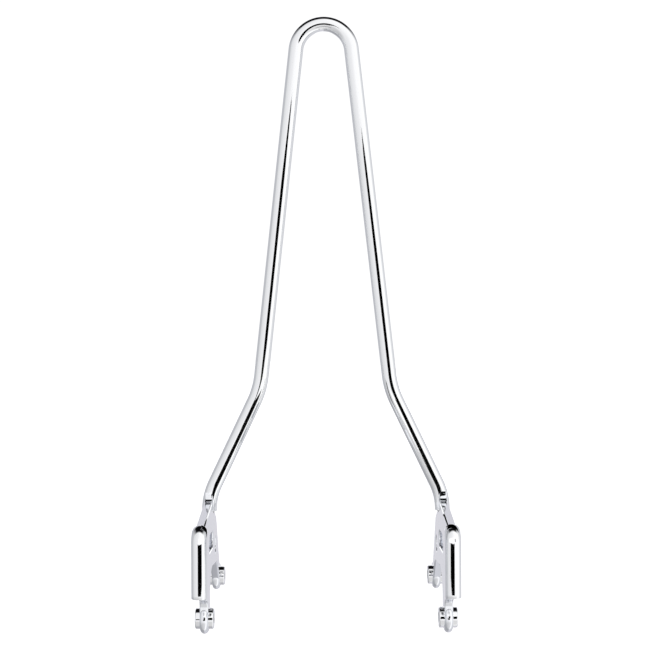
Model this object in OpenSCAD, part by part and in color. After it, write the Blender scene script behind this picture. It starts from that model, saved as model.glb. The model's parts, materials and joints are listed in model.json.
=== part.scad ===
// Sissy bar: a bent round-bar hoop, welded at each foot to a flat side plate.
// X runs across the vehicle, +Y forward and +Z up.
// The origin is midway between the two rear bolt holes, on their common axis.

/* [Hoop bar] */
// Diameter of the round bar
bar_d = 16; // [12:0.5:18]
// Height of the hoop's top above the rear bolt line
hoop_top_z = 632; // [560:1:680]
// Centreline radius of the bend at the top
top_bend_r = 30; // [24:1:36]
// Lean of the long upper legs from upright
leg_angle = 6.3; // [5:0.1:7]
// Lean of the short lower legs from upright
foot_angle = 25.6; // [22:0.1:30]
// Centreline radius of the outward kink in each leg
kink_r = 88; // [50:1:110]
// Centreline radius of the bend back to upright at each foot
foot_bend_r = 65; // [50:1:75]
// Height of the foot bend's corner above the rear bolt line
foot_bend_z = 118; // [114:1:122]
// Straight length below each foot bend
foot_straight = 1; // [0.5:0.5:4]
// Distance of the hoop in front of the rear bolt line
hoop_y = 58; // [54:1:62]
// Height of the slot in each foot that takes the plate's tongue
foot_slot_h = 20.5; // [14:0.5:21]
// Radius of the hollow where the plate's top edge runs up to the bar
foot_hollow_r = 9; // [5:0.5:11]

/* [Side plates] */
// Distance between the middles of the two plates
plate_spacing = 250; // [230:1:270]
// Thickness of each plate
plate_t = 9; // [6:0.5:10]
// Radius of the round lugs
lug_r = 15.5; // [14:0.5:17]
// Distance of the front bolt line in front of the rear one
front_lug_y = 142.5; // [138:0.5:148]
// Height of the front bolt line above the rear one
front_lug_z = 16; // [13:0.5:19]
// Height of the arch between the lugs at its rear end
arch_h = 47; // [42:1:50]
// Fall of the arch's top edge from its rear end to its front end
arch_fall = 7; // [4:1:9]
// Radius of the arch's rear corner
arch_rear_r = 28; // [18:1:32]
// Radius of the arch's front corner
arch_front_r = 22; // [14:1:26]
// Length of the long slot
slot_len = 50; // [36:1:54]
// Width of the slot and diameter of the round hole in front of it
slot_w = 18; // [12:1:19]
// Distance of the slot's middle in front of the rear bolt line
slot_y = 28; // [24:1:31]
// Height of the slot's middle above the rear bolt line
slot_z = 73.5; // [71:0.5:76]
// Distance of the round hole in front of the rear bolt line
hole_y = 82; // [78:1:84]
// Height of the round hole above the rear bolt line
hole_z = 62; // [60:1:66]

/* [Plate outline] */
// Distance of the top edge's bend behind the rear bolt line
crest_back = 8; // [2:1:14]
// Height of the top edge's bend above the rear bolt line
crest_z = 106; // [104:0.5:108]
// Radius of the top edge's bend
crest_r = 60; // [40:5:90]
// Distance of the shoulder's corner in front of the hoop behind the front bolt line
shoulder_back = 50.5; // [48:0.5:53]
// Height of the shoulder's corner above the front bolt line
shoulder_up = 75; // [73:0.5:77]
// Radius of the shoulder
shoulder_r = 26; // [16:1:30]
// Distance of the bend in the front edge behind the front bolt line
waist_back = 31; // [29:0.5:33]
// Height of the bend in the front edge above the front bolt line
waist_up = 45; // [43:0.5:47]
// Radius of the bend in the front edge
waist_r = 60; // [40:5:80]
// Distance of the neck over the front lug behind the front bolt line
neck_back = 14.5; // [13:0.5:16]
// Height of the neck over the front lug above the front bolt line
neck_up = 19; // [18:0.5:21]
// Radius of the necks at the lugs
neck_r = 8; // [4:1:10]
// Distance of the arch's front corner behind the front bolt line
arch_front_back = 38.5; // [36:0.5:41]
// Distance of the arch's rear side in front of the rear bolt line
arch_rear_y = 13; // [12:0.5:15]
// Height of the neck behind the rear lug above the rear bolt line
rear_neck_z = 18.5; // [17:0.5:21]

/* [Rear rods] */
// Diameter of the short upright rods on the plates' rear edges
rod_d = 16; // [13:0.5:18]
// Distance of the rods behind the rear bolt line
rod_back = 55; // [50:1:60]
// Height of a rod's flat lower end above the rear bolt line
rod_bottom_z = 32; // [28:1:36]
// Height of a rod's bent-over top above the rear bolt line
rod_top_z = 103.5; // [100:0.5:108]
// Centreline radius of the bend at a rod's top
rod_bend_r = 9; // [8.5:0.5:12]
// Angle that a rod's top is bent forward
rod_bend = 80; // [60:5:85]
// Depth of the seat in each rod for the plate's rear edge
rod_seat = 3; // [2:0.5:4]
// Depth of the plate's top rear corner below a rod's top
rod_step = 4; // [3:0.5:6]

/* [Bushings] */
// Outside diameter of the bushings in the lugs
bushing_d = 21.2; // [18:0.1:23]
// Length of a bushing, across both faces of the plate
bushing_len = 19; // [14:0.5:24]
// Diameter of the bolt hole through a bushing
bore_d = 10.3; // [8.3:0.1:12.5]
// Chamfer round the ends of a bushing
bushing_chamfer = 0.8; // [0.3:0.1:1.2]

/* [Welds] */
// Leg of the fillet welds under the feet
foot_weld = 3; // [2:0.5:3.5]
// Leg of the fillet welds beside the rods
rod_weld = 2.5; // [1.5:0.5:3]

/* [Hidden] */
$fn = 96;
arc_steps = 14;
bar_sides = 24;
rim_steps = 8;
chrome = [0.86, 0.87, 0.89];
cut = 40;

bar_r = bar_d / 2;
rod_r = rod_d / 2;
plate_x = plate_spacing / 2;
lug_flat_r = lug_r - plate_t / 2;
top_centre_z = hoop_top_z - bar_r - top_bend_r;

// Where the upper and lower runs of a leg would cross
kink_z = (plate_x + foot_bend_z * tan(foot_angle) - top_bend_r / cos(leg_angle)
    - top_centre_z * tan(leg_angle)) / (tan(foot_angle) - tan(leg_angle));
kink_x = plate_x - (kink_z - foot_bend_z) * tan(foot_angle);
kink_reach = kink_r * tan((foot_angle - leg_angle) / 2);
foot_reach = foot_bend_r * tan(foot_angle / 2);
foot_end_z = foot_bend_z - foot_reach - foot_straight;
lower_run = [sin(foot_angle), -cos(foot_angle)];

// Places where the plate meets the bar and the rod
tongue_top_z = foot_end_z + foot_slot_h;
tongue_half = sqrt(bar_r * bar_r - plate_t * plate_t / 4);
rod_y = -rod_back;
seat_y = rod_y + rod_r - rod_seat;
seat_bottom_z = rod_bottom_z + 1;
rod_bend_z = rod_top_z - rod_r - rod_bend_r;

function unit(v) = v / norm(v);
function turn(a) = a > 180 ? a - 360 : (a < -180 ? a + 360 : a);

// Points of the arc of radius r that rounds the corner b of the path a, b, c
function corner(a, b, c, r) =
    let (u = unit(a - b), v = unit(c - b), half = acos(u * v) / 2,
        centre = b + unit(u + v) * r / sin(half),
        from = b + u * r / tan(half) - centre,
        to = b + v * r / tan(half) - centre,
        start = atan2(from[1], from[0]),
        sweep = turn(atan2(to[1], to[0]) - start))
    [for (i = [0:arc_steps])
        let (a = start + sweep * i / arc_steps)
        centre + r * [cos(a), sin(a)]];

// A closed outline from corners [y, z, radius], where radius 0 stays sharp
function outline(p) = [for (i = [0:len(p) - 1])
    let (n = len(p), a = p[(i + n - 1) % n], b = p[i], c = p[(i + 1) % n],
        pts = b[2] > 0 ? corner([a[0], a[1]], [b[0], b[1]], [c[0], c[1]], b[2]) : [[b[0], b[1]]])
    each pts];

// Bearing, from the front lug's middle, at which the arch's front side meets the lug
lug_under = 215;

// Side view of a plate without the rims of its lugs, as [y, z, corner radius]
plate_corners = [
    [seat_y, seat_bottom_z, 0],
    [seat_y, rod_top_z - rod_step, 0],
    [-crest_back, crest_z, crest_r],
    [hoop_y - bar_r, tongue_top_z - foot_hollow_r, foot_hollow_r],
    [hoop_y - bar_r, tongue_top_z, 0],
    [hoop_y + tongue_half, tongue_top_z, 0],
    [hoop_y + tongue_half, foot_end_z, 0],
    [front_lug_y - shoulder_back, front_lug_z + shoulder_up, shoulder_r],
    [front_lug_y - waist_back, front_lug_z + waist_up, waist_r],
    [front_lug_y - neck_back, front_lug_z + neck_up, neck_r],
    [front_lug_y, front_lug_z + lug_flat_r, 0],
    [front_lug_y, front_lug_z, 0],
    [front_lug_y + lug_flat_r * cos(lug_under), front_lug_z + lug_flat_r * sin(lug_under), 0],
    [front_lug_y - arch_front_back, arch_h - arch_fall, arch_front_r],
    [arch_rear_y, arch_h, arch_rear_r],
    [lug_flat_r, 0, 0],
    [-lug_flat_r, 0, 0],
    [-lug_flat_r, rear_neck_z, neck_r]];

// Points along the middle of a bent bar, as [x, z, lean, share], where lean is the
// bar's turn from upright and share is the part of its radius that it has there
function arc_run(centre, r, from, to, steps) = [for (i = [0:steps])
    let (lean = from + (to - from) * i / steps)
    [centre[0] + r * cos(lean), centre[1] + r * sin(lean), lean, 1]];

// Points of the domed end after a bar's last point
function dome(end, r) = [for (a = [20:20:80])
    [end[0] - r * sin(a) * sin(end[2]), end[1] + r * sin(a) * cos(end[2]), end[2], cos(a)]];

// The hoop from its right foot to the top, then down to its left foot
kink_end = [kink_x, kink_z] + kink_reach * lower_run;
kink_centre = kink_end + kink_r * [cos(foot_angle), sin(foot_angle)];
foot_centre = [plate_x - foot_bend_r, foot_bend_z - foot_reach];
right_half = concat(
    [[plate_x, foot_end_z, 0, 1]],
    arc_run(foot_centre, foot_bend_r, 0, foot_angle, 6),
    arc_run(kink_centre, -kink_r, foot_angle, leg_angle, 5),
    arc_run([0, top_centre_z], top_bend_r, leg_angle, 90, 12));
left_half = [for (i = [len(right_half) - 2:-1:0])
    [-right_half[i][0], right_half[i][1], 180 - right_half[i][2], 1]];

// A rear rod from its lower end to its bent-over, domed top
rod_turn = arc_run([rod_bend_r, rod_bend_z], -rod_bend_r, 0, -rod_bend, 8);
rod_path = concat([[0, rod_bottom_z, 0, 1]], rod_turn, dome(rod_turn[8], rod_r));

// Round bar of radius r along a path in the XZ plane
module swept_bar(path, r) {
    rings = len(path);
    points = [for (p = path) for (j = [0:bar_sides - 1])
        let (a = 360 * j / bar_sides, out = r * p[3] * cos(a))
        [p[0] + out * cos(p[2]), r * p[3] * sin(a), p[1] + out * sin(p[2])]];
    skin = [for (i = [0:rings - 2]) for (j = [0:bar_sides - 1])
        let (k = (j + 1) % bar_sides)
        [i * bar_sides + j, i * bar_sides + k, (i + 1) * bar_sides + k, (i + 1) * bar_sides + j]];
    lower_cap = [for (j = [bar_sides - 1:-1:0]) j];
    upper_cap = [for (j = [0:bar_sides - 1]) (rings - 1) * bar_sides + j];
    polyhedron(points, concat(skin, [lower_cap, upper_cap]), convexity = 6);
}

// The hoop, with a slot up each foot for the plate's tongue
module hoop_bar() {
    color(chrome)
        difference() {
            translate([0, hoop_y, 0])
                swept_bar(concat(right_half, left_half), bar_r);
            for (side = [-1, 1]) {
                translate([side * plate_x - plate_t / 2, hoop_y - cut / 2, foot_end_z - 1])
                    cube([plate_t, cut, foot_slot_h + 1]);
            }
        }
}

// Upright sheet in the YZ plane, t thick about X = 0, from a flat [y, z] shape
module upright(t) {
    rotate([90, 0, 90])
        linear_extrude(height = t, center = true)
            children();
}

// Flat slot with round ends, about the origin
module oblong(length, width) {
    square([length - width, width], center = true);
    for (side = [-1, 1]) {
        translate([side * (length - width) / 2, 0])
            circle(d = width);
    }
}

// Round disc with a half-round rim
module lug() {
    rotate([0, 90, 0])
        rotate_extrude()
            polygon(concat([[0, -plate_t / 2]],
                [for (i = [0:rim_steps])
                    let (a = 180 * i / rim_steps - 90)
                    [lug_flat_r + plate_t / 2 * cos(a), plate_t / 2 * sin(a)]],
                [[0, plate_t / 2]]));
}

// A plate without its rims and holes
module plate_body() {
    upright(plate_t) polygon(outline(plate_corners));
}

module side_plate() {
    color(chrome)
        difference() {
            union() {
                plate_body();
                lug();
                at_front_lug() lug();
            }
            rotate([0, 90, 0]) cylinder(h = cut, d = bushing_d, center = true);
            at_front_lug() rotate([0, 90, 0]) cylinder(h = cut, d = bushing_d, center = true);
            upright(cut) translate([slot_y, slot_z]) oblong(slot_len, slot_w);
            upright(cut) translate([hole_y, hole_z]) circle(d = slot_w);
        }
}

// Short rod, bent over forward at the top, with a seat for the plate's rear edge
module rear_rod() {
    color(chrome)
        difference() {
            translate([0, rod_y, 0])
                rotate([0, 0, 90])
                    swept_bar(rod_path, rod_r);
            plate_body();
        }
}

// Turned bushing with chamfered ends, along X
module bushing() {
    half = bushing_len / 2;
    c = bushing_chamfer;
    r = bushing_d / 2;
    color(chrome)
        rotate([0, 90, 0])
            rotate_extrude()
                polygon([[bore_d / 2, -half], [r - c, -half], [r, c - half], [r, half - c],
                    [r - c, half], [bore_d / 2, half]]);
}

// Hollow fillet welds in the corners under a slotted foot
module foot_weld() {
    reach = bar_r - plate_t / 2;
    leg_x = min(foot_weld, reach);
    color(chrome)
        for (side = [0, 1]) {
            mirror([side, 0, 0])
                translate([plate_t / 2, hoop_y, foot_end_z])
                    rotate([90, 0, 0])
                        linear_extrude(height = tongue_half, center = true)
                            difference() {
                                translate([0, -foot_weld]) square([leg_x, foot_weld]);
                                translate([leg_x, -foot_weld]) circle(r = leg_x);
                            }
        }
}

// Hollow fillet welds in the corners between a rod and the plate's faces
module rod_weld() {
    touch_y = rod_y + sqrt(rod_r * rod_r - plate_t * plate_t / 4);
    color(chrome)
        for (side = [0, 1]) {
            mirror([side, 0, 0])
                translate([0, 0, seat_bottom_z])
                    linear_extrude(height = rod_bend_z - seat_bottom_z)
                        difference() {
                            translate([plate_t / 2, touch_y - rod_weld])
                                square([rod_weld, 2 * rod_weld]);
                            translate([0, rod_y])
                                polygon([for (j = [0:bar_sides - 1])
                                    let (a = 360 * j / bar_sides)
                                    rod_r * [cos(a), sin(a)]]);
                            translate([plate_t / 2 + rod_weld, touch_y + rod_weld]) circle(r = rod_weld);
                            translate([plate_t / 2 + rod_weld / 2, touch_y - 2 * rod_weld])
                                square([rod_weld, rod_weld * 2]);
                        }
        }
}

// A piece at the left or right plate, and one at the front bolt line
module at_plate(side) {
    translate([side * plate_x, 0, 0]) children();
}

module at_front_lug() {
    translate([0, front_lug_y, front_lug_z]) children();
}

hoop_bar();
at_plate(-1) side_plate();  // left_side_plate
at_plate(1) side_plate();  // right_side_plate
at_plate(-1) rear_rod();  // left_rear_rod
at_plate(1) rear_rod();  // right_rear_rod
at_plate(-1) bushing();  // left_rear_bushing
at_plate(1) bushing();  // right_rear_bushing
at_plate(-1) at_front_lug() bushing();  // left_front_bushing
at_plate(1) at_front_lug() bushing();  // right_front_bushing
at_plate(-1) foot_weld();  // left_foot_weld
at_plate(1) foot_weld();  // right_foot_weld
at_plate(-1) rod_weld();  // left_rod_weld
at_plate(1) rod_weld();  // right_rod_weld
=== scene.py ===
import json
import math

import bmesh
import bpy
from mathutils import Matrix, Vector


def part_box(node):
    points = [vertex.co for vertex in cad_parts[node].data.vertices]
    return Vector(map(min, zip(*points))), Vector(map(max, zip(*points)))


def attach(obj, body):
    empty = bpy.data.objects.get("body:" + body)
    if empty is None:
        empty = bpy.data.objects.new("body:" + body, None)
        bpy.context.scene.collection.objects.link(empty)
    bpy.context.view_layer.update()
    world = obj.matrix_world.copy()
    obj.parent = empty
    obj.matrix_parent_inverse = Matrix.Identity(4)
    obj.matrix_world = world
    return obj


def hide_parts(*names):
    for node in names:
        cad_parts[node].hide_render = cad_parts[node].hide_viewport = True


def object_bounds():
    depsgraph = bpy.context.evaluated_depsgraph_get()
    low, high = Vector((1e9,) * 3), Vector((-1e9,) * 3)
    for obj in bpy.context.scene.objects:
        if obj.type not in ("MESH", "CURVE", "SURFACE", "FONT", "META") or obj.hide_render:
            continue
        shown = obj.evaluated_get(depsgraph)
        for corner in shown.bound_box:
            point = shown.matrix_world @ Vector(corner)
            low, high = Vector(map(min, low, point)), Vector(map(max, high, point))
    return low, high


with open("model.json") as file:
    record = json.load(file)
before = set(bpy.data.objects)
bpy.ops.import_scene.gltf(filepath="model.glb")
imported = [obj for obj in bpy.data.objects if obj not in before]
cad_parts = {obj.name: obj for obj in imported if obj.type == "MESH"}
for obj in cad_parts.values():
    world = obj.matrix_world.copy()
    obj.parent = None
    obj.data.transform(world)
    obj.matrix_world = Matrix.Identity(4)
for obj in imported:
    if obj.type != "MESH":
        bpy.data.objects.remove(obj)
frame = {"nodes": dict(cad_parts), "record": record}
cad_low, cad_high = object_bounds()

# Sizes of the hoop and the rods that the boxes of the frame don't give, in metres and degrees
TOP_BEND_R = 0.030
KINK_R = 0.088
FOOT_BEND_R = 0.065
FOOT_BEND_Z = 0.118
LEG_ANGLE = 6.3
FOOT_ANGLE = 25.6
ROD_TOP_Z = 0.1035
ROD_BEND_R = 0.009
ROD_BEND = 80

# Rounding of a rod's foot as (height, share of the rod's radius)
ROD_FOOT = ((0, 0.95), (0.0001, 0.98), (0.0004, 1))

# The dome on a rod's top stops just short of its tip, so that its last ring isn't a point
DOME_END = 89

# Rounding of a bushing's rim and chamfer of its bore, whose radius the record gives in millimetres
BUSHING_RIM = 0.0013
BORE_LIP = 0.0005
MM_PER_M = 1000

# Rounding of a plate's arrises
EDGE_ROUND = 0.0018

# Depth of a lug's flat ring below the plate's face, so that the two don't lie in one plane
LUG_INSET = 0.00002

# Fineness of the smooth meshes
BAR_SIDES = 64
TURNED_SIDES = 128
EDGE_STEPS = 4
FOOT_BEND_STEPS = 16
KINK_STEPS = 14
TOP_BEND_STEPS = 32
LOWER_LEG_STEPS = 12
UPPER_LEG_STEPS = 30
ROD_STEPS = 16
ROD_BEND_STEPS = 24
DOME_STEPS = 12
BUSHING_RIM_STEPS = 8
LUG_RIM_STEPS = 24
SHARP_ANGLE = math.radians(35)

# Distances within which two points, or a point and a circle, count as the same
SAME_POINT = 1e-6
SAME_CIRCLE = 0.0001

# Patterns in the chrome as (scale, detail) of a noise, with the shares of the colour and of the
# roughness that the first two reach
TINT_NOISE = (14, 3)
TINT_SHADE = 0.975
HAZE_NOISE = (60, 4)
HAZE_RANGE = (0.6, 1.4)
RIPPLE_NOISE = (35, 1)

# Camera that matches the photograph's frame of 650 by 650 pixels
PHOTO_WIDTH = 650
FOCAL_PIXELS = 1267
SENSOR_MM = 36
CAMERA_PLACE = Vector((0, -1.303, 0.301))
CAMERA_ROLL = 0.28

# Brightness round the studio by bearing: 0 is behind the camera, positive to its right
STUDIO = [
    (-180, (0.72, 0.715, 0.76)),
    (-125, (0.54, 0.55, 0.58)),
    (-95, (0.58, 0.59, 0.61)),
    (-75, (0.82, 0.83, 0.84)),
    (-30, (0.93, 0.93, 0.94)),
    (20, (1.10, 1.10, 1.10)),
    (80, (1.15, 1.15, 1.15)),
    (95, (0.85, 0.86, 0.87)),
    (130, (0.68, 0.69, 0.72)),
    (180, (0.72, 0.715, 0.76)),
]

# The studio is darker below, as if over a bench. This shade fades out upward between two elevations,
# and toward the camera's right between two bearings, all in degrees.
BENCH_FADE = (-32, -12)
BENCH_SHADE = 0.72
BENCH_END = (30, 50)

# The dark ceiling lies between two angles, counted from the horizon behind the camera up and over.
# Its ends are soft by some degrees, and it fades sideways between two values of the direction's X.
CEILING_FROM = 77
CEILING_TO = 143
CEILING_SOFT = 6
CEILING_SIDES = (0.55, 0.85)
CEILING_COLOR = (0.004, 0.004, 0.005)

# The camera sees a white backdrop and a pale floor that glows a little
BACKDROP_LIGHT = 1.05
FLOOR_DROP = 0.30
FLOOR_SIZE = 40
FLOOR_COLOR = (0.9, 0.9, 0.9)
FLOOR_ROUGHNESS = 0.9
FLOOR_GLOW = 0.65

# Cards that only the chrome mirrors: name, brightness, place along Y and corners (x, z).
# The dark flags make the stripes, and the white cards the bright patches beside them.
DARK = 0
WHITE = 1.15
CARDS = [
    ("far_flag", DARK, -1.55,
     [(-0.22, 0.04), (-0.22, 0.66), (0.30, 0.79), (0.70, 0.76), (1.10, 0.56), (1.10, 0.12)]),
    ("low_flag", DARK, -0.512,
     [(-0.26, -0.065), (-0.26, 0.03), (0.27, 0.03), (0.27, -0.075)]),
    ("left_leg_flag", DARK, 0,
     [(-0.1155, 0.108), (-0.125, 0.127), (-0.075, 0.215), (-0.017, 0.215), (-0.0335, 0.155),
      (-0.048, 0.1345), (-0.0525, 0.108), (-0.06, 0.088), (-0.085, 0.094)]),
    ("right_leg_flag", DARK, 0,
     [(0.104, 0.104), (0.0935, 0.118), (0.0925, 0.132), (0.067, 0.215), (0.094, 0.215),
      (0.124, 0.171), (0.1355, 0.149), (0.1385, 0.135), (0.1225, 0.122), (0.1205, 0.104)]),
    ("right_foot_flag", DARK, -0.045,
     [(0.108, 0.105), (0.108, 0.128), (0.162, 0.138), (0.162, 0.108)]),
    ("left_rod_white", WHITE, -0.2,
     [(-0.145, 0.066), (-0.145, 0.17), (0.01, 0.17), (0.01, 0.066)]),
    ("right_rod_white", WHITE, -0.2,
     [(0.02, 0.066), (0.02, 0.17), (0.185, 0.17), (0.185, 0.066)]),
    ("back_white", WHITE, 1.05,
     [(-0.28, 0.01), (-0.28, 0.42), (-0.17, 0.42), (-0.17, 0.75), (0.17, 0.75), (0.17, 0.42),
      (0.28, 0.42), (0.28, 0.01)]),
]


def make_camera():
    """A camera behind the object, looking forward along +Y, with the photograph's slight roll."""
    data = bpy.data.cameras.new("camera")
    data.sensor_width = SENSOR_MM
    data.lens = FOCAL_PIXELS / PHOTO_WIDTH * SENSOR_MM
    camera = bpy.data.objects.new("camera", data)
    camera.location = CAMERA_PLACE
    camera.rotation_euler = (math.radians(90), math.radians(CAMERA_ROLL), 0)
    bpy.context.scene.collection.objects.link(camera)
    bpy.context.scene.camera = camera


def ramp_between(nodes, links, value, low, high, to_low, to_high):
    """A clamped map of one value to another."""
    step = nodes.new("ShaderNodeMapRange")
    step.inputs["From Min"].default_value = low
    step.inputs["From Max"].default_value = high
    step.inputs["To Min"].default_value = to_low
    step.inputs["To Max"].default_value = to_high
    links.new(value, step.inputs["Value"])
    return step.outputs["Result"]


def calc(nodes, links, operation, a, b=None):
    """One arithmetic node; a and b are sockets or numbers."""
    node = nodes.new("ShaderNodeMath")
    node.operation = operation
    for socket, value in zip(node.inputs, (a, b)):
        if value is None:
            continue
        if isinstance(value, (int, float)):
            socket.default_value = value
        else:
            links.new(value, socket)
    return node.outputs[0]


def blend(nodes, links, factor, color_a, color_b):
    """A mix of two colours; each one is a socket or three numbers."""
    mix = nodes.new("ShaderNodeMix")
    mix.data_type = "RGBA"
    links.new(factor, mix.inputs["Factor"])
    for name, color in (("A", color_a), ("B", color_b)):
        if isinstance(color, tuple):
            mix.inputs[name].default_value = (*color, 1)
        else:
            links.new(color, mix.inputs[name])
    return mix.outputs["Result"]


def noise(nodes, links, scale, detail):
    """A noise pattern that is fixed to the object."""
    place = nodes.new("ShaderNodeTexCoord")
    pattern = nodes.new("ShaderNodeTexNoise")
    pattern.inputs["Scale"].default_value = scale
    pattern.inputs["Detail"].default_value = detail
    links.new(place.outputs["Object"], pattern.inputs["Vector"])
    return pattern.outputs["Fac"]


def chrome(name, color, roughness, ripple):
    """Polished plate: a faint change of tint, faint haze and a very faint ripple in the surface."""
    material = bpy.data.materials.new(name)
    material.use_nodes = True
    nodes = material.node_tree.nodes
    links = material.node_tree.links
    shader = nodes["Principled BSDF"]
    shader.inputs["Metallic"].default_value = 1

    shaded = tuple(c * TINT_SHADE for c in color)
    tint = blend(nodes, links, noise(nodes, links, *TINT_NOISE), shaded, color)
    links.new(tint, shader.inputs["Base Color"])

    least, most = [roughness * share for share in HAZE_RANGE]
    haze = ramp_between(nodes, links, noise(nodes, links, *HAZE_NOISE), 0, 1, least, most)
    links.new(haze, shader.inputs["Roughness"])

    bump = nodes.new("ShaderNodeBump")
    bump.inputs["Strength"].default_value = 1
    bump.inputs["Distance"].default_value = ripple
    links.new(noise(nodes, links, *RIPPLE_NOISE), bump.inputs["Height"])
    links.new(bump.outputs["Normal"], shader.inputs["Normal"])
    return material


# Each slot's colour, roughness and height of ripple
MATERIALS = {
    "chrome_bar": chrome("chrome_bar", (0.90, 0.905, 0.92), 0.05, 0.00002),
    "chrome_plate": chrome("chrome_plate", (0.87, 0.88, 0.91), 0.07, 0.00004),
    "chrome_turned": chrome("chrome_turned", (0.90, 0.905, 0.92), 0.06, 0.00002),
    "chrome_weld": chrome("chrome_weld", (0.88, 0.885, 0.90), 0.10, 0.00008),
}


def shade(mesh):
    """Smooth faces, with the edges that turn sharply kept sharp."""
    work = bmesh.new()
    work.from_mesh(mesh)
    for face in work.faces:
        face.smooth = True
    for edge in work.edges:
        if len(edge.link_faces) == 2:
            edge.smooth = edge.calc_face_angle(0) < SHARP_ANGLE
    work.to_mesh(mesh)
    work.free()


def make_piece(name, mesh, slot, nodes):
    """Puts a finished mesh in the scene in place of its CAD nodes."""
    shade(mesh)
    piece = bpy.data.objects.new(name, mesh)
    bpy.context.scene.collection.objects.link(piece)
    mesh.materials.clear()
    mesh.materials.append(MATERIALS[slot])
    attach(piece, "root")
    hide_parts(*nodes)
    return piece


def band(first, second, count):
    """Faces between two rings of points, given the number of each ring's first point."""
    faces = []
    for j in range(count):
        k = (j + 1) % count
        faces.append((first + j, first + k, second + k, second + j))
    return faces


def closed_mesh(name, points, faces):
    """A mesh of points and faces, with the faces turned outward."""
    mesh = bpy.data.meshes.new(name)
    mesh.from_pydata(points, [], faces)
    work = bmesh.new()
    work.from_mesh(mesh)
    bmesh.ops.recalc_face_normals(work, faces=work.faces)
    work.to_mesh(mesh)
    work.free()
    return mesh


def arc_run(centre_x, centre_z, radius, start, end, steps):
    """Points of a bend as (x, z, lean, share of the bar's radius)."""
    run = []
    for i in range(steps + 1):
        lean = math.radians(start + (end - start) * i / steps)
        run.append((centre_x + radius * math.cos(lean), centre_z + radius * math.sin(lean), lean, 1))
    return run


def straight(a, b, steps):
    """Points between two path points, without the ends."""
    return [tuple(u + (v - u) * i / steps for u, v in zip(a, b)) for i in range(1, steps)]


def swept_bar(name, path, radius):
    """A round bar along a path in the XZ plane, closed at both ends."""
    points = []
    for x, z, lean, share in path:
        ring = radius * share
        for j in range(BAR_SIDES):
            turn = 2 * math.pi * j / BAR_SIDES
            out = ring * math.cos(turn)
            points.append((x + out * math.cos(lean), ring * math.sin(turn), z + out * math.sin(lean)))
    last = (len(path) - 1) * BAR_SIDES
    faces = [tuple(reversed(range(BAR_SIDES)))]
    for first in range(0, last, BAR_SIDES):
        faces += band(first, first + BAR_SIDES, BAR_SIDES)
    faces.append(tuple(range(last, last + BAR_SIDES)))
    return closed_mesh(name, points, faces)


def hoop_path(plate_x, foot_end_z, top_z, radius):
    """Middle of the hoop from its right foot over the top to its left foot."""
    lean = math.radians(LEG_ANGLE)
    foot = math.radians(FOOT_ANGLE)
    top_centre_z = top_z - radius - TOP_BEND_R

    # The kink's corner is where the lines of the leg and the foot cross; both X values are at Z = 0
    leg_x = TOP_BEND_R / math.cos(lean) + top_centre_z * math.tan(lean)
    foot_x = plate_x + FOOT_BEND_Z * math.tan(foot)
    kink_z = (foot_x - leg_x) / (math.tan(foot) - math.tan(lean))
    kink_x = foot_x - kink_z * math.tan(foot)

    reach = KINK_R * math.tan((foot - lean) / 2)
    centre_x = kink_x + reach * math.sin(foot) + KINK_R * math.cos(foot)
    centre_z = kink_z - reach * math.cos(foot) + KINK_R * math.sin(foot)
    foot_centre_z = FOOT_BEND_Z - FOOT_BEND_R * math.tan(foot / 2)
    foot_bend = arc_run(plate_x - FOOT_BEND_R, foot_centre_z, FOOT_BEND_R, 0, FOOT_ANGLE, FOOT_BEND_STEPS)
    kink = arc_run(centre_x, centre_z, -KINK_R, FOOT_ANGLE, LEG_ANGLE, KINK_STEPS)
    top_bend = arc_run(0, top_centre_z, TOP_BEND_R, LEG_ANGLE, 90, TOP_BEND_STEPS)
    half = [(plate_x, foot_end_z, 0, 1)] + foot_bend
    half += straight(foot_bend[-1], kink[0], LOWER_LEG_STEPS) + kink
    half += straight(kink[-1], top_bend[0], UPPER_LEG_STEPS) + top_bend
    return half + [(-x, z, math.pi - a, s) for x, z, a, s in reversed(half[:-1])]


def make_hoop():
    """The bent bar, from one foot over the top to the other."""
    low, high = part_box("hoop_bar")
    plate_low, plate_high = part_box("right_side_plate")
    radius = (high.y - low.y) / 2
    middle_y = (high.y + low.y) / 2
    plate_x = (plate_low.x + plate_high.x) / 2
    mesh = swept_bar("hoop", hoop_path(plate_x, low.z, high.z, radius), radius)
    mesh.transform(Matrix.Translation((0, middle_y, 0)))
    make_piece("hoop", mesh, "chrome_bar", ["hoop_bar"])


def make_rod(node):
    """A short rod with its top bent forward into a dome."""
    low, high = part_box(node)
    radius = (high.x - low.x) / 2
    bend_z = ROD_TOP_Z - radius - ROD_BEND_R
    bend = arc_run(ROD_BEND_R, bend_z, -ROD_BEND_R, 0, -ROD_BEND, ROD_BEND_STEPS)
    end_x, end_z, lean, _ = bend[-1]
    dome = []
    for i in range(1, DOME_STEPS + 1):
        a = math.radians(DOME_END * i / DOME_STEPS)
        out = radius * math.sin(a)
        dome.append((end_x - out * math.sin(lean), end_z + out * math.cos(lean), lean, math.cos(a)))
    foot = [(0, low.z + height, 0, share) for height, share in ROD_FOOT]
    path = foot + straight(foot[-1], bend[0], ROD_STEPS) + bend + dome
    mesh = swept_bar(node, path, radius)
    place = Matrix.Translation(((low.x + high.x) / 2, low.y + radius, 0))
    mesh.transform(place @ Matrix.Rotation(math.pi / 2, 4, "Z"))
    make_piece(node.replace("rear_rod", "bent_rod"), mesh, "chrome_bar", [node])


def rim_arc(centre_x, centre_r, half_x, half_r, end, steps):
    """Points (x, r) of a rounded rim: part of an ellipse, from its +X side to an angle in degrees."""
    run = []
    for i in range(steps + 1):
        a = math.radians(end * i / steps)
        run.append((centre_x + half_x * math.cos(a), centre_r + half_r * math.sin(a)))
    return run


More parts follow.
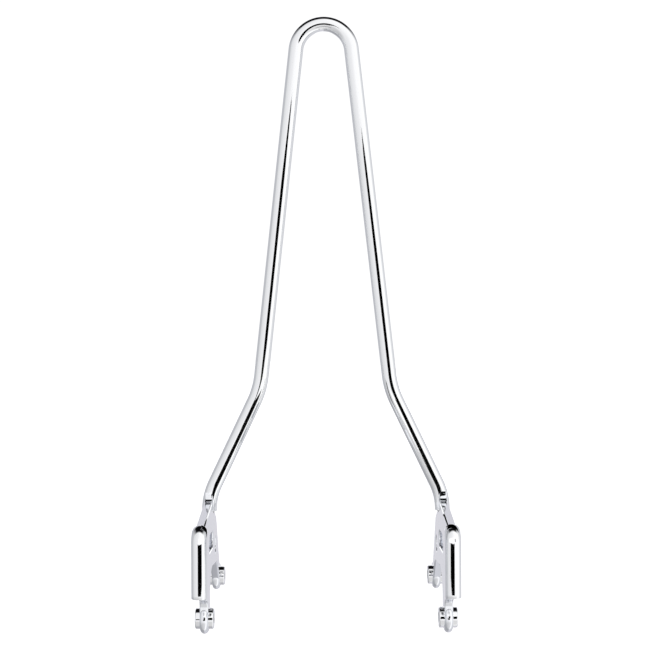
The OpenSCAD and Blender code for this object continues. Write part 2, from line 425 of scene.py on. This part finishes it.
def turned(name, centre, profile):
    """A closed profile of (x, r) points turned about the X axis through a centre."""
    points = []
    for x, r in profile:
        for j in range(TURNED_SIDES):
            turn = 2 * math.pi * j / TURNED_SIDES
            points.append((centre.x + x, centre.y + r * math.cos(turn), centre.z + r * math.sin(turn)))
    faces = []
    for i in range(len(profile)):
        n = (i + 1) % len(profile)
        faces += band(i * TURNED_SIDES, n * TURNED_SIDES, TURNED_SIDES)
    return closed_mesh(name, points, faces)


def make_bushing(node):
    """A turned bushing with rounded rims and a chamfered bore."""
    low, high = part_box(node)
    half = (high.x - low.x) / 2
    radius = (high.z - low.z) / 2
    bore = frame["record"]["mounts"][0]["dims"]["r_mm"] / MM_PER_M
    side = [(half - BORE_LIP, bore), (half, bore + BORE_LIP)]
    side += rim_arc(half - BUSHING_RIM, radius - BUSHING_RIM, BUSHING_RIM, BUSHING_RIM, 90, BUSHING_RIM_STEPS)
    profile = side + [(-x, r) for x, r in reversed(side)]
    mesh = turned(node, (low + high) / 2, profile)
    make_piece(node.replace("bushing", "boss"), mesh, "chrome_turned", [node])


def face_loops(node, face_x):
    """Closed outlines, as lists of (y, z), of a plate node's flat face at one X."""
    work = bmesh.new()
    work.from_mesh(frame["nodes"][node].data)
    bmesh.ops.remove_doubles(work, verts=work.verts, dist=SAME_POINT)
    flat = [f for f in work.faces if all(abs(v.co.x - face_x) < SAME_POINT for v in f.verts)]
    inside = set(flat)
    after = {}
    for face in flat:
        for loop in face.loops:
            others = [f for f in loop.edge.link_faces if f is not face]
            if not any(f in inside for f in others):
                after[loop.vert] = loop.link_loop_next.vert
    loops = []
    while after:
        start, at = after.popitem()
        loop = [start.co.yz.copy()]
        while at is not start:
            loop.append(at.co.yz.copy())
            at = after.pop(at)
        loops.append(loop)
    work.free()
    return loops


def is_bore(loop, bushings):
    """Whether a loop of (y, z) points runs round one of the bushings."""
    for low, high in bushings:
        centre = (low + high).yz / 2
        radius = (high.z - low.z) / 2
        if all(abs((point - centre).length - radius) < SAME_CIRCLE for point in loop):
            return True
    return False


def evaluated_mesh(thing):
    """A new mesh of an object as its modifiers or its curve make it."""
    bpy.context.view_layer.update()
    return bpy.data.meshes.new_from_object(thing.evaluated_get(bpy.context.evaluated_depsgraph_get()))


def rounded_sheet(name, loops, thickness):
    """A flat sheet about X = 0 with the given outlines and rounded arrises."""
    curve = bpy.data.curves.new(name, "CURVE")
    curve.dimensions = "2D"
    curve.fill_mode = "BOTH"
    curve.extrude = thickness / 2 - EDGE_ROUND
    curve.bevel_depth = EDGE_ROUND
    curve.bevel_resolution = EDGE_STEPS
    curve.offset = -EDGE_ROUND
    for loop in loops:
        spline = curve.splines.new("POLY")
        spline.points.add(len(loop) - 1)
        for point, (y, z) in zip(spline.points, loop):
            point.co = (y, z, 0, 1)
        spline.use_cyclic_u = True
    shape = bpy.data.objects.new(name + "_outline", curve)
    bpy.context.scene.collection.objects.link(shape)
    mesh = evaluated_mesh(shape)
    bpy.data.objects.remove(shape)
    for v in mesh.vertices:
        y, z, x = v.co
        v.co = (x, y, z)
    work = bmesh.new()
    work.from_mesh(mesh)
    bmesh.ops.remove_doubles(work, verts=work.verts, dist=SAME_POINT)
    bmesh.ops.recalc_face_normals(work, faces=work.faces)
    work.to_mesh(mesh)
    work.free()
    return mesh


def cut_bore(mesh, low, high):
    """Cuts the round hole of one bushing through a plate's mesh."""
    radius = (high.z - low.z) / 2
    length = 2 * (high.x - low.x)
    place = Matrix.Translation((low + high) / 2) @ Matrix.Rotation(math.pi / 2, 4, "Y")
    work = bmesh.new()
    bmesh.ops.create_cone(work, cap_ends=True, segments=TURNED_SIDES, radius1=radius, radius2=radius,
                          depth=length, matrix=place)
    cutter_mesh = bpy.data.meshes.new("cutter")
    work.to_mesh(cutter_mesh)
    work.free()
    cutter = bpy.data.objects.new("cutter", cutter_mesh)
    body = bpy.data.objects.new("body", mesh)
    for thing in (cutter, body):
        bpy.context.scene.collection.objects.link(thing)
    cut = body.modifiers.new("cut", "BOOLEAN")
    cut.operation = "DIFFERENCE"
    cut.solver = "EXACT"
    cut.object = cutter
    finished = evaluated_mesh(body)
    for thing in (cutter, body):
        bpy.data.objects.remove(thing)
    return finished


def make_plate(node):
    """The plate of the frame with its outline kept, rounded arrises and half-round lugs."""
    side = node.split("_")[0]
    bushings = [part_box(f"{side}_{end}_bushing") for end in ("rear", "front")]
    plate_low, plate_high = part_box(node)
    thickness = plate_high.x - plate_low.x
    outlines = [loop for loop in face_loops(node, plate_high.x) if not is_bore(loop, bushings)]
    mesh = rounded_sheet(node, outlines, thickness)
    mesh.transform(Matrix.Translation(((plate_low.x + plate_high.x) / 2, 0, 0)))
    for low, high in bushings:
        mesh = cut_bore(mesh, low, high)

    rear_low, rear_high = bushings[0]
    lug_radius = (rear_low.z + rear_high.z) / 2 - plate_low.z
    half = thickness / 2
    flat = half - LUG_INSET
    rim = rim_arc(0, lug_radius - half, flat, half, 180, LUG_RIM_STEPS)
    work = bmesh.new()
    work.from_mesh(mesh)
    for low, high in bushings:
        bore = (high.z - low.z) / 2
        work.from_mesh(turned("lug", (low + high) / 2, [(-flat, bore), (flat, bore)] + rim))
    whole = bpy.data.meshes.new(node)
    work.to_mesh(whole)
    work.free()
    piece = make_piece(node.replace("side_plate", "plate"), whole, "chrome_plate", [node])
    weigh = piece.modifiers.new("flat_faces", "WEIGHTED_NORMAL")
    weigh.keep_sharp = True


def finish_cad_node(node, slot):
    """Gives a CAD node that stays as it is its finish."""
    piece = frame["nodes"][node]
    piece.data.materials.clear()
    piece.data.materials.append(MATERIALS[slot])


def make_card(name, brightness, y, corners):
    """A flat card of one brightness that the camera doesn't see and that casts no shadow."""
    mesh = bpy.data.meshes.new(name)
    mesh.from_pydata([(x, y, z) for x, z in corners], [], [tuple(range(len(corners)))])
    material = bpy.data.materials.new(name)
    material.use_nodes = True
    nodes = material.node_tree.nodes
    nodes.clear()
    glow = nodes.new("ShaderNodeEmission")
    glow.inputs["Strength"].default_value = brightness
    result = nodes.new("ShaderNodeOutputMaterial")
    material.node_tree.links.new(glow.outputs[0], result.inputs["Surface"])
    mesh.materials.append(material)
    card = bpy.data.objects.new(name, mesh)
    bpy.context.scene.collection.objects.link(card)
    card.visible_camera = False
    card.visible_diffuse = False
    card.visible_shadow = False


def make_floor():
    """A pale floor that the chrome doesn't mirror."""
    mesh = bpy.data.meshes.new("floor")
    half_size = FLOOR_SIZE / 2
    corners = [(-1, -1), (1, -1), (1, 1), (-1, 1)]
    floor_z = cad_low.z - FLOOR_DROP
    mesh.from_pydata([(a * half_size, b * half_size, floor_z) for a, b in corners], [], [(0, 1, 2, 3)])
    floor = bpy.data.objects.new("floor", mesh)
    bpy.context.scene.collection.objects.link(floor)
    floor.visible_glossy = False
    material = bpy.data.materials.new("floor")
    material.use_nodes = True
    shader = material.node_tree.nodes["Principled BSDF"]
    shader.inputs["Base Color"].default_value = (*FLOOR_COLOR, 1)
    shader.inputs["Roughness"].default_value = FLOOR_ROUGHNESS
    shader.inputs["Emission Color"].default_value = (1, 1, 1, 1)
    shader.inputs["Emission Strength"].default_value = FLOOR_GLOW
    mesh.materials.append(material)


def make_world():
    """A white backdrop for the camera, and the studio that the chrome mirrors."""
    scene = bpy.context.scene
    scene.view_settings.view_transform = "Standard"
    world = bpy.data.worlds.new("studio")
    scene.world = world
    world.use_nodes = True
    nodes = world.node_tree.nodes
    links = world.node_tree.links
    nodes.clear()
    place = nodes.new("ShaderNodeTexCoord")
    split = nodes.new("ShaderNodeSeparateXYZ")
    links.new(place.outputs["Generated"], split.inputs[0])
    x, y, z = split.outputs
    toward = calc(nodes, links, "MULTIPLY", y, -1)
    bearing = calc(nodes, links, "DEGREES", calc(nodes, links, "ARCTAN2", x, toward))
    height = calc(nodes, links, "DEGREES", calc(nodes, links, "ARCSINE", z))
    over = calc(nodes, links, "DEGREES", calc(nodes, links, "ARCTAN2", z, toward))

    ring = nodes.new("ShaderNodeValToRGB")
    ring.color_ramp.interpolation = "EASE"
    while len(ring.color_ramp.elements) < len(STUDIO):
        ring.color_ramp.elements.new(0.5)
    for element, (angle, color) in zip(ring.color_ramp.elements, STUDIO):
        element.position = (angle + 180) / 360
        element.color = (*color, 1)
    links.new(ramp_between(nodes, links, bearing, -180, 180, 0, 1), ring.inputs["Fac"])
    low = ramp_between(nodes, links, height, *BENCH_FADE, BENCH_SHADE, 1)
    bright = calc(nodes, links, "MAXIMUM", low, ramp_between(nodes, links, bearing, *BENCH_END, 0, 1))

    rising = ramp_between(nodes, links, over, CEILING_FROM - CEILING_SOFT, CEILING_FROM + CEILING_SOFT, 0, 1)
    falling = ramp_between(nodes, links, over, CEILING_TO - CEILING_SOFT, CEILING_TO + CEILING_SOFT, 1, 0)
    aside = ramp_between(nodes, links, calc(nodes, links, "ABSOLUTE", x), *CEILING_SIDES, 1, 0)
    ceiling = calc(nodes, links, "MULTIPLY", calc(nodes, links, "MULTIPLY", rising, falling), aside)
    mirrored = nodes.new("ShaderNodeBackground")
    links.new(blend(nodes, links, ceiling, ring.outputs["Color"], CEILING_COLOR), mirrored.inputs["Color"])
    links.new(bright, mirrored.inputs["Strength"])

    seen = nodes.new("ShaderNodeBackground")
    seen.inputs["Color"].default_value = (1, 1, 1, 1)
    seen.inputs["Strength"].default_value = BACKDROP_LIGHT
    path = nodes.new("ShaderNodeLightPath")
    choose = nodes.new("ShaderNodeMixShader")
    links.new(path.outputs["Is Camera Ray"], choose.inputs["Fac"])
    links.new(mirrored.outputs[0], choose.inputs[1])
    links.new(seen.outputs[0], choose.inputs[2])
    result = nodes.new("ShaderNodeOutputWorld")
    links.new(choose.outputs[0], result.inputs["Surface"])


make_camera()
make_hoop()
for side in ("left", "right"):
    make_plate(side + "_side_plate")
    for end in ("rear", "front"):
        make_bushing(f"{side}_{end}_bushing")
    make_rod(side + "_rear_rod")
    finish_cad_node(side + "_foot_weld", "chrome_weld")
    finish_cad_node(side + "_rod_weld", "chrome_weld")
make_world()
make_floor()
for card in CARDS:
    make_card(*card)
